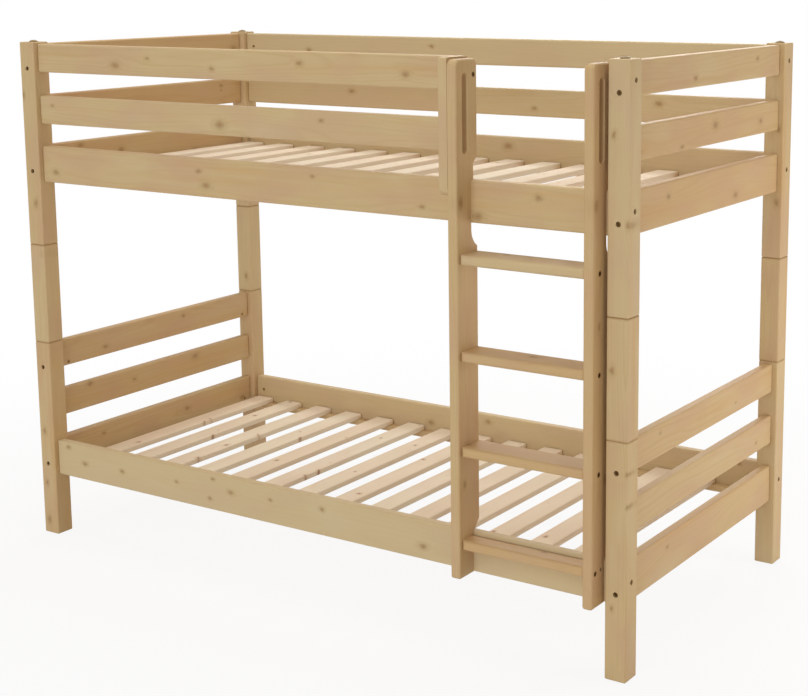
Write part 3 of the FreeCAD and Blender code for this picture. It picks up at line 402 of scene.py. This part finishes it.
# The clearest knots on the lower bed, in mm: along it, across it, radius
slatKnots = [(-922, -171, 5), (-905, 120, 3), (-770, 17, 4), (-640, 94, 4), (-654, -46, 6), (-640, -194, 5),
             (-235, -155, 4), (-232, -92, 4), (-500, 144, 4), (-407, -85, 5), (-271, 280, 4), (-126, 272, 4),
             (662, -226, 5)]
slatKnotShape = {"alongSlat": 700.0, "acrossSlat": 1000.0, "depth": 20.0, "height": 232}
# One knot at most in each stretch, in metres, and about half the stretches have one. The slats' grain differs by
# as much as the shifts, as if each were cut from another place in the trunk
slatGrowth = {"stretch": 0.24, "stretchShift": 213.0, "halfSpread": 0.030, "bareShare": 0.45,
              "radii": (0.0004, 0.0065), "lengthShift": 31.0, "sideShift": 0.07, "pith": (0.0, 0.01, -0.045)}


def slatMaterial():
    material, tree = newMaterial("pineSapwoodPlaned")
    bed = addNode(tree, "ShaderNodeTexCoord").outputs["Object"]
    placeOf = addNode(tree, "ShaderNodeAttribute", attribute_name="slatPlace").outputs["Vector"]
    toneOf = addNode(tree, "ShaderNodeAttribute", attribute_name="slatTone").outputs["Fac"]
    own = addNode(tree, "ShaderNodeVectorMath", {0: bed, 1: placeOf}, operation="SUBTRACT").outputs[0]
    turn = Matrix(((0, 1, 0), (1, 0, 0), (0, 0, -1)))
    board = addNode(tree, "ShaderNodeMapping", {"Vector": own, "Rotation": turn.to_euler()}).outputs[0]
    # Scattered knots: one cell for each stretch
    split = addNode(tree, "ShaderNodeSeparateXYZ", {0: board}).outputs
    stretch = addNode(tree, "ShaderNodeMath", {0: split[0], 1: 1 / slatGrowth["stretch"]},
                      operation="MULTIPLY").outputs[0]
    shifted = addNode(tree, "ShaderNodeMath", {0: toneOf, 1: slatGrowth["stretchShift"], 2: stretch},
                      operation="MULTIPLY_ADD").outputs[0]
    cells = addNode(tree, "ShaderNodeTexVoronoi", {"W": shifted, "Scale": 1.0}, voronoi_dimensions="1D").outputs
    chance = addNode(tree, "ShaderNodeSeparateColor", {0: cells["Color"]}).outputs
    downSlat = addNode(tree, "ShaderNodeMath", {0: cells["Distance"], 1: slatGrowth["stretch"]},
                       operation="MULTIPLY").outputs[0]
    wanted = addNode(tree, "ShaderNodeMapRange", {0: chance[0], 3: -slatGrowth["halfSpread"],
                     4: slatGrowth["halfSpread"]}).outputs[0]
    overSlat = addNode(tree, "ShaderNodeMath", {0: split[1], 1: wanted}, operation="SUBTRACT").outputs[0]
    offset = addNode(tree, "ShaderNodeCombineXYZ", {0: downSlat, 1: overSlat}).outputs[0]
    away = addNode(tree, "ShaderNodeVectorMath", {0: offset}, operation="LENGTH").outputs["Value"]
    radius = addNode(tree, "ShaderNodeMapRange", {0: chance[1], 1: slatGrowth["bareShare"], 2: 1.0,
                     3: slatGrowth["radii"][0], 4: slatGrowth["radii"][1]}).outputs[0]
    scattered = addNode(tree, "ShaderNodeMath", {0: away, 1: radius}, operation="DIVIDE").outputs[0]
    placed = knotField(tree, bed, [
        ((x, y, slatKnotShape["height"]),
         (slatKnotShape["acrossSlat"] / r, slatKnotShape["alongSlat"] / r, slatKnotShape["depth"]))
        for x, y, r in slatKnots])
    knot = addNode(tree, "ShaderNodeMath", {0: scattered, 1: placed}, operation="MINIMUM").outputs[0]
    lengthwise = addNode(tree, "ShaderNodeMath", {0: toneOf, 1: slatGrowth["lengthShift"]},
                         operation="MULTIPLY").outputs[0]
    sideways = addNode(tree, "ShaderNodeMath", {0: toneOf, 1: slatGrowth["sideShift"]},
                       operation="MULTIPLY").outputs[0]
    apart = addNode(tree, "ShaderNodeCombineXYZ", {0: lengthwise, 1: sideways, 2: sideways}).outputs[0]
    moved = addNode(tree, "ShaderNodeVectorMath", {0: board, 1: apart}, operation="ADD").outputs[0]
    finishBoard(tree, sapwood, (0.0, 1.0, 0.0),
                {"Board": moved, "Pith": slatGrowth["pith"], "Knot": knot, "Tone": toneOf})
    return material


def slatTree(sizes):
    tree, given = shapeTree("slatRow", sizes)
    halfLength = addNode(tree, "ShaderNodeMath", {0: given["Slat Length"], 1: 0.5}, operation="MULTIPLY").outputs[0]
    backward = addNode(tree, "ShaderNodeMath", {0: halfLength, 1: -1.0}, operation="MULTIPLY").outputs[0]
    start = addNode(tree, "ShaderNodeCombineXYZ", {1: backward}).outputs[0]
    stop = addNode(tree, "ShaderNodeCombineXYZ", {1: halfLength}).outputs[0]
    line = addNode(tree, "GeometryNodeCurvePrimitiveLine", {"Start": start, "End": stop}).outputs[0]
    level = addNode(tree, "GeometryNodeSetCurveNormal", {"Curve": line}, mode="Z_UP").outputs[0]
    outline = addNode(tree, "GeometryNodeCurvePrimitiveQuadrilateral",
                      {"Width": given["Slat Width"], "Height": given["Slat Thickness"]}).outputs[0]
    rounded = addNode(tree, "GeometryNodeFilletCurve", {"Curve": outline, "Radius": given["Edge Radius"],
                      "Count": 3}, mode="POLY").outputs[0]
    slat = addNode(tree, "GeometryNodeCurveToMesh", {"Curve": level, "Profile Curve": rounded,
                   "Fill Caps": True}).outputs[0]
    smooth = softShade(tree, slat)
    play = addNode(tree, "FunctionNodeRandomValue", {2: -1.0, 3: 1.0, "Seed": given["Seed"]},
                   data_type="FLOAT").outputs[1]
    aside = addNode(tree, "ShaderNodeMath", {0: play, 1: given["Sideways Play"]}, operation="MULTIPLY").outputs[0]
    offset = addNode(tree, "ShaderNodeCombineXYZ", {0: aside}).outputs[0]
    spots = addNode(tree, "GeometryNodeSetPosition", {"Geometry": given["Geometry"], "Offset": offset}).outputs[0]
    row = addNode(tree, "GeometryNodeInstanceOnPoints", {"Points": spots, "Instance": smooth}).outputs[0]
    tone = addNode(tree, "FunctionNodeRandomValue", {2: 0.0, 3: 1.0, "Seed": given["Seed"]},
                   data_type="FLOAT").outputs[1]
    toned = addNode(tree, "GeometryNodeStoreNamedAttribute", {"Geometry": row, "Name": "slatTone",
                    "Value": tone}, data_type="FLOAT", domain="INSTANCE").outputs[0]
    where = addNode(tree, "GeometryNodeInputPosition").outputs[0]
    placed = addNode(tree, "GeometryNodeStoreNamedAttribute", {"Geometry": toned, "Name": "slatPlace",
                     "Value": where}, data_type="FLOAT_VECTOR", domain="INSTANCE").outputs[0]
    finishTree(tree, placed, given["Slat Material"])
    return tree


def plainMaterial(name, first, second, scale, roughness, spread, **fixed):
    # Two close tones mottled over the surface, with a little unevenness in the gloss
    material, tree = newMaterial(name)
    texture = addNode(tree, "ShaderNodeTexCoord").outputs["Object"]
    mottle = addNode(tree, "ShaderNodeTexNoise", {"Vector": texture, "Scale": scale, "Detail": 3.0}).outputs["Fac"]
    colour = addNode(tree, "ShaderNodeValToRGB", {0: mottle}, stops=[(0.35, first), (0.68, second)]).outputs[0]
    rough = addNode(tree, "ShaderNodeMapRange", {0: mottle, 3: roughness - spread,
                    4: roughness + spread}).outputs[0]
    bump = addNode(tree, "ShaderNodeBump", {"Strength": 0.3, "Distance": 0.0001, "Height": mottle}).outputs[0]
    finishShader(tree, Base_Color=colour, Roughness=rough, Normal=bump, **fixed)
    return material


# Steel with a dark bronze plating: almost black in its recess, a brown glint on the rim
bronzedSteel = plainMaterial("steelBronzed", "#5A4124", "#80623A", 400.0, 0.36, 0.08, Metallic=1.0)
# Zinc plated steel with a yellow passivation: a dull straw tone that is close to the wood's own
zincPlate = plainMaterial("steelZincPlated", "#97794C", "#AA8C5C", 300.0, 0.45, 0.08, Metallic=1.0)
# Turned beech pegs: fine pinkish brown flecks
beech = plainMaterial("beechTurned", "#C79F72", "#B98A5C", 900.0, 0.6, 0.06, IOR=1.5)
# Moulded polyamide caps in a wood tone: even, slightly shiny
capPlastic = plainMaterial("polyamideMoulded", "#8C744C", "#987F56", 600.0, 0.5, 0.04, IOR=1.53,
                           Specular_IOR_Level=0.2)

boltSizes = {"Head Width": 0.012, "Head Height": 0.005, "Rim Chamfer": 0.0006, "Socket Width": 0.006,
             "Socket Depth": 0.003, "Shank Width": 0.006, "Seed": 3}
mostTurn = 1.04  # in radians: a hexagon looks the same again after a sixth of a turn
shankStart = 0.8  # the shank starts inside the head, at this share of its height


def boltTree(sizes):  # a cheese head with a hexagon socket on a plain shank, turned to its point's aim
    tree, given = shapeTree("socketBolt", sizes)
    radius = addNode(tree, "ShaderNodeMath", {0: given["Head Width"], 1: 0.5}, operation="MULTIPLY").outputs[0]
    skirt = addNode(tree, "ShaderNodeMath", {0: given["Head Height"], 1: given["Rim Chamfer"]},
                    operation="SUBTRACT").outputs[0]
    disc = addNode(tree, "GeometryNodeMeshCylinder", {"Vertices": 24, "Radius": radius, "Depth": skirt}).outputs[0]
    normal = addNode(tree, "GeometryNodeInputNormal").outputs[0]
    facing = addNode(tree, "ShaderNodeSeparateXYZ", {0: normal}).outputs
    upward = addNode(tree, "FunctionNodeCompare", {0: facing[2], 1: 0.9}, operation="GREATER_THAN").outputs[0]
    raised = addNode(tree, "GeometryNodeExtrudeMesh", {"Mesh": disc, "Selection": upward,
                     "Offset Scale": given["Rim Chamfer"]}).outputs
    share = addNode(tree, "ShaderNodeMath", {0: given["Rim Chamfer"], 1: radius}, operation="DIVIDE").outputs[0]
    rest = addNode(tree, "ShaderNodeMath", {0: 1.0, 1: share}, operation="SUBTRACT").outputs[0]
    chamfered = addNode(tree, "GeometryNodeScaleElements", {"Geometry": raised["Mesh"], "Selection": raised["Top"],
                        "Scale": rest}).outputs[0]
    halfSkirt = addNode(tree, "ShaderNodeMath", {0: skirt, 1: 0.5}, operation="MULTIPLY").outputs[0]
    topLevel = addNode(tree, "ShaderNodeMath", {0: halfSkirt, 1: given["Rim Chamfer"]}, operation="ADD").outputs[0]
    down = addNode(tree, "ShaderNodeMath", {0: topLevel, 1: -1.0}, operation="MULTIPLY").outputs[0]
    lowered = addNode(tree, "ShaderNodeCombineXYZ", {2: down}).outputs[0]
    head = addNode(tree, "GeometryNodeTransform", {"Geometry": chamfered, "Translation": lowered}).outputs[0]
    corner = addNode(tree, "ShaderNodeMath", {0: given["Socket Width"], 1: 1 / math.sqrt(3)},
                     operation="MULTIPLY").outputs[0]
    deep = addNode(tree, "ShaderNodeMath", {0: given["Socket Depth"], 1: 2.0}, operation="MULTIPLY").outputs[0]
    key = addNode(tree, "GeometryNodeMeshCylinder", {"Vertices": 6, "Radius": corner, "Depth": deep}).outputs[0]
    cut = addNode(tree, "GeometryNodeMeshBoolean", {"Mesh 1": head, "Mesh 2": key},
                  operation="DIFFERENCE").outputs[0]
    thick = addNode(tree, "ShaderNodeMath", {0: given["Shank Width"], 1: 0.5}, operation="MULTIPLY").outputs[0]
    rod = addNode(tree, "GeometryNodeMeshCylinder", {"Vertices": 12, "Radius": thick, "Depth": 1.0}).outputs[0]
    hung = addNode(tree, "GeometryNodeTransform", {"Geometry": rod, "Translation": (0.0, 0.0, -0.5)}).outputs[0]
    # A bolt stops at any turn of its socket
    aim = addNode(tree, "GeometryNodeInputNamedAttribute", {"Name": "aim"}, data_type="FLOAT_VECTOR").outputs[0]
    turn = addNode(tree, "FunctionNodeAlignRotationToVector", {"Vector": aim}, axis="Z").outputs[0]
    stop = addNode(tree, "FunctionNodeRandomValue", {2: 0.0, 3: mostTurn, "Seed": given["Seed"]},
                   data_type="FLOAT").outputs[1]
    spin = addNode(tree, "FunctionNodeAxisAngleToRotation", {"Axis": (0.0, 0.0, 1.0), "Angle": stop}).outputs[0]
    turned = addNode(tree, "FunctionNodeRotateRotation", {"Rotation": turn, "Rotate By": spin},
                     rotation_space="LOCAL").outputs[0]
    heads = addNode(tree, "GeometryNodeInstanceOnPoints", {"Points": given["Geometry"],
                    "Instance": softShade(tree, cut), "Rotation": turned}).outputs[0]
    # Each shank is as long as its point's reach
    inside = addNode(tree, "ShaderNodeMath", {0: given["Head Height"], 1: -shankStart},
                     operation="MULTIPLY").outputs[0]
    back = addNode(tree, "ShaderNodeVectorMath", {0: aim, "Scale": inside}, operation="SCALE").outputs[0]
    under = addNode(tree, "GeometryNodeSetPosition", {"Geometry": given["Geometry"], "Offset": back}).outputs[0]
    reach = addNode(tree, "GeometryNodeInputNamedAttribute", {"Name": "reach"}, data_type="FLOAT").outputs[0]
    long = addNode(tree, "ShaderNodeCombineXYZ", {0: 1.0, 1: 1.0, 2: reach}).outputs[0]
    shanks = addNode(tree, "GeometryNodeInstanceOnPoints", {"Points": under, "Instance": softShade(tree, hung),
                     "Rotation": turned, "Scale": long}).outputs[0]
    both = addNode(tree, "GeometryNodeJoinGeometry", {"Geometry": heads})
    tree.links.new(shanks, both.inputs[0])
    finishTree(tree, both.outputs[0], given["Bolt Material"])
    return tree


slatWood = slatMaterial()
rows = {}
for number, bed in enumerate(("lower", "upper")):
    slats = sorted((extent(points) for points in parts(bed + "_slats")), key=lambda box: box[0].x)
    low, high = slats[0]
    rows[bed] = slats, {**slatSizes, "Slat Width": high.x - low.x, "Slat Length": high.y - low.y,
                        "Slat Thickness": high.z - low.z, "Seed": slatSizes["Seed"] + number,
                        "Slat Material": slatWood}
slatRow = slatTree(rows["lower"][1])
for bed, (slats, sizes) in rows.items():
    piece = growPiece(bed + "SlatRow", slatRow, sizes, [(low + high) / 2 for low, high in slats])
    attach(piece, "root")
    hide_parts(bed + "_slats")
    print(bed, "slats:", len(slats), extent([v.co for v in piece.data.vertices]))

screwSizes = {"Head Width": 0.009, "Head Height": 0.004, "Socket Width": 0.004, "Shank Width": 0.005}
fastenerSizes = {"lower_frame_bolts": {}, "upper_frame_bolts": {}, "ladder_bolts": {},
                 "ledger_screws": screwSizes, "ladder_screws": screwSizes}


def headOf(points, headHeight):  # the middle of a fastener's top, the way that it faces and its shank's length
    low, high = extent(points)
    middle, sides = (low + high) / 2, high - low
    axis = max(range(3), key=lambda side: sides[side])
    aim = Vector([1.0 if side == axis else 0.0 for side in range(3)])
    girths = [max((p - middle).cross(aim).length for p in points if abs(p[axis] - level) < 0.0001)
              for level in (low[axis], high[axis])]
    aim *= 1 if girths[1] > girths[0] else -1
    return middle + aim * sides[axis] / 2, aim, sides[axis] - shankStart * headHeight


boltSizes["Bolt Material"] = bronzedSteel
bolt = boltTree(boltSizes)
for name, own in fastenerSizes.items():
    sizes = {**boltSizes, **own}
    heads = [headOf(points, sizes["Head Height"]) for points in parts(name)]
    heads.sort(key=lambda head: tuple(head[0]))
    title = "".join(word.capitalize() if number else word for number, word in enumerate(name.split("_")))
    places, aims, reaches = zip(*heads)
    piece = growPiece(title, bolt, sizes, places, aims, reaches)
    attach(piece, "root")
    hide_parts(name)
    print(title, len(heads), "of", len(piece.data.polygons), "faces together")

finishes = {
    zincPlate: ("lower_barrel_nuts", "upper_barrel_nuts", "ladder_nuts"),
    beech: ("lower_rail_dowels", "upper_rail_dowels", "rung_dowels", "post_pins"),
    capPlastic: ("post_caps", "ladder_spacer"),
}
for material, names in finishes.items():
    for name in names:
        for slot in nodes[name].material_slots:
            slot.material = material
print("metal, plastic and pegs dressed")

studio = {"floorRadius": 14.0, "floorColour": "#EDEDED", "shadowShare": 0.12, "shadowNear": 1.3, "shadowFar": 3.2,
          "skyLevel": 0.36, "skyTint": "#FFECD2"}
softboxes = {
    "softboxFront": {"place": (0.5, -11.0, 8.6), "aim": (0.0, 0.0, 0.8), "size": (7.0, 6.0), "power": 275.0,
                     "tint": "#EBF6FF"},
    "softboxLow": {"place": (1.5, -11.0, 1.8), "aim": (0.0, 0.0, 0.5), "size": (7.0, 3.0), "power": 365.0,
                   "tint": "#EBF6FF"},
    "softboxAbove": {"place": (0.0, 0.3, 5.2), "aim": (0.0, 0.0, 0.0), "size": (4.0, 3.0), "power": 104.0,
                     "tint": "#F3FAFF"},
    "softboxBehind": {"place": (-1.2, 4.2, 3.2), "aim": (0.0, 0.0, 0.4), "size": (3.0, 2.0), "power": 85.0,
                      "tint": "#FFFFFF"},
    "softboxRight": {"place": (2.6, 0.6, 0.8), "aim": (1.0, 0.0, 0.8), "size": (1.5, 1.2), "power": 14.0,
                     "tint": "#FFFFFF"},
}


def whiteToEye(tree):  # 1 where a surface is seen directly or mirrored, 0 where it only lights the bed
    path = addNode(tree, "ShaderNodeLightPath").outputs
    mirrored = addNode(tree, "ShaderNodeMath", {0: path["Is Glossy Ray"], 1: path["Is Transmission Ray"]},
                       operation="MAXIMUM").outputs[0]
    return addNode(tree, "ShaderNodeMath", {0: path["Is Camera Ray"], 1: mirrored}, operation="MAXIMUM").outputs[0]


# White paper sweep: it looks pure white further out and keeps a faint shadow under the bed
def makeFloor():
    mesh = bpy.data.meshes.new("floor")
    disc = bmesh.new()
    bmesh.ops.create_circle(disc, cap_ends=True, segments=96, radius=studio["floorRadius"])
    disc.to_mesh(mesh)
    disc.free()
    floor = bpy.data.objects.new("floor", mesh)
    bpy.context.scene.collection.objects.link(floor)
    material, tree = newMaterial("paperWhite")
    place = addNode(tree, "ShaderNodeTexCoord").outputs["Object"]
    away = addNode(tree, "ShaderNodeVectorMath", {0: place}, operation="LENGTH").outputs["Value"]
    share = addNode(tree, "ShaderNodeMapRange", {0: away, 1: studio["shadowNear"], 2: studio["shadowFar"],
                    3: 1 - studio["shadowShare"], 4: 1.0}, interpolation_type="SMOOTHSTEP").outputs[0]
    amount = addNode(tree, "ShaderNodeMath", {0: whiteToEye(tree), 1: share}, operation="MULTIPLY").outputs[0]
    paper = addNode(tree, "ShaderNodeBsdfDiffuse", {"Color": studio["floorColour"]}).outputs[0]
    glow = addNode(tree, "ShaderNodeEmission", {"Color": "#FFFFFF", "Strength": 1.0}).outputs[0]
    mixed = addNode(tree, "ShaderNodeMixShader", {0: amount, 1: paper, 2: glow}).outputs[0]
    addNode(tree, "ShaderNodeOutputMaterial", {"Surface": mixed})
    mesh.materials.append(material)
    floor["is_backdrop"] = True


def makeSky():
    world = bpy.data.worlds.new("studio")
    bpy.context.scene.world = world
    world.use_nodes = True
    tree = world.node_tree
    tree.nodes.clear()
    light = addNode(tree, "ShaderNodeBackground", {"Color": studio["skyTint"],
                    "Strength": studio["skyLevel"]}).outputs[0]
    white = addNode(tree, "ShaderNodeBackground", {"Color": "#FFFFFF", "Strength": 1.0}).outputs[0]
    mixed = addNode(tree, "ShaderNodeMixShader", {0: whiteToEye(tree), 1: light, 2: white}).outputs[0]
    addNode(tree, "ShaderNodeOutputWorld", {"Surface": mixed})


def makeLamp(name, place, aim, size, power, tint):
    lamp = bpy.data.lights.new(name, "AREA")
    lamp.shape, lamp.energy, lamp.color = "RECTANGLE", power, linear(tint)[:3]
    lamp.size, lamp.size_y = size
    holder = bpy.data.objects.new(name, lamp)
    holder.location = place
    holder.rotation_euler = (Vector(aim) - Vector(place)).to_track_quat("-Z", "Y").to_euler()
    bpy.context.scene.collection.objects.link(holder)


makeFloor()
makeSky()
for name, values in softboxes.items():
    makeLamp(name, **values)

# Where the photograph was taken from. The angles are in radians, the lens and the sensor in mm
viewpoint = {"lens": 69.9, "sensor": 36.0, "shiftX": -0.1238, "shiftY": -0.1423,
             "place": (2.74283, -3.73021, 1.74277), "yaw": 0.56267624, "pitch": -0.16388941, "roll": -0.00416772}


def makeCamera():
    camera = bpy.data.cameras.new("camera")
    camera.lens, camera.sensor_width = viewpoint["lens"], viewpoint["sensor"]
    camera.shift_x, camera.shift_y = viewpoint["shiftX"], viewpoint["shiftY"]
    yaw, pitch, roll = (viewpoint[key] for key in ("yaw", "pitch", "roll"))
    ahead = Vector((-math.sin(yaw) * math.cos(pitch), math.cos(yaw) * math.cos(pitch), math.sin(pitch)))
    right = Vector((math.cos(yaw), math.sin(yaw), 0.0))
    upward = right.cross(ahead)
    turnedRight = right * math.cos(roll) + upward * math.sin(roll)
    turnedUp = upward * math.cos(roll) - right * math.sin(roll)
    holder = bpy.data.objects.new("camera", camera)
    holder.matrix_world = Matrix.Translation(viewpoint["place"]) @ Matrix(
        (turnedRight, turnedUp, -ahead)).transposed().to_4x4()
    bpy.context.scene.collection.objects.link(holder)
    bpy.context.scene.camera = holder


makeCamera()
bpy.context.scene.view_settings.view_transform = "Standard"
print("studio ready")

low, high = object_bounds()
print("sizes written:", [round(side, 4) for side in high - low])
